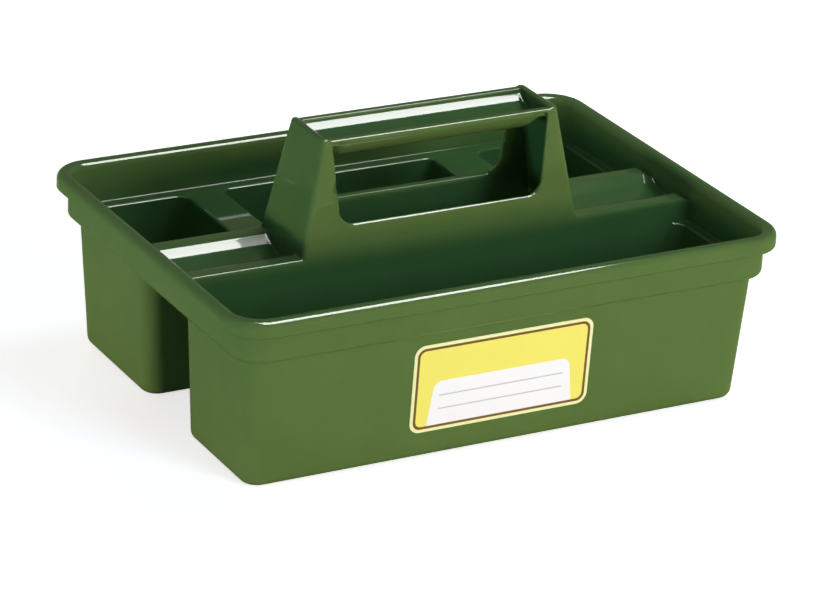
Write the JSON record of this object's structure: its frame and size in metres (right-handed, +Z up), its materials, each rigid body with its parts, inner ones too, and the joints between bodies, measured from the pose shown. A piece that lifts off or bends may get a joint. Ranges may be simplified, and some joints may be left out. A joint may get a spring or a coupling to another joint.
{
  "type": "tool storage caddy",
  "caption": "One-piece moulded plastic caddy with a deep front bin, rear pockets, small end trays and a raised carrying handle along its middle.",
  "frame": {"origin": "on the floor, below the middle of the rim", "axes": "+X along the length, +Y towards the rear pockets, +Z up"},
  "size_m": [0.375, 0.275, 0.1737],
  "materials": {
    "green_plastic": "glossy",
    "label_paper": "satin"
  },
  "bodies": {
    "root": {"rim": "green_plastic", "upper_band": "green_plastic", "ledge": "green_plastic", "left_saddle": "green_plastic", "right_saddle": "green_plastic", "front_bin": "green_plastic", "rear_left_bin": "green_plastic", "rear_middle_bin": "green_plastic", "rear_right_bin": "green_plastic", "front_divider": "green_plastic", "rear_divider": "green_plastic", "left_tray": "green_plastic", "right_tray": "green_plastic", "handle_front_plate": "green_plastic", "handle_rear_plate": "green_plastic", "handle_left_end": "green_plastic", "handle_right_end": "green_plastic", "grip": "green_plastic", "label": "label_paper"}
  },
  "joints": []
}
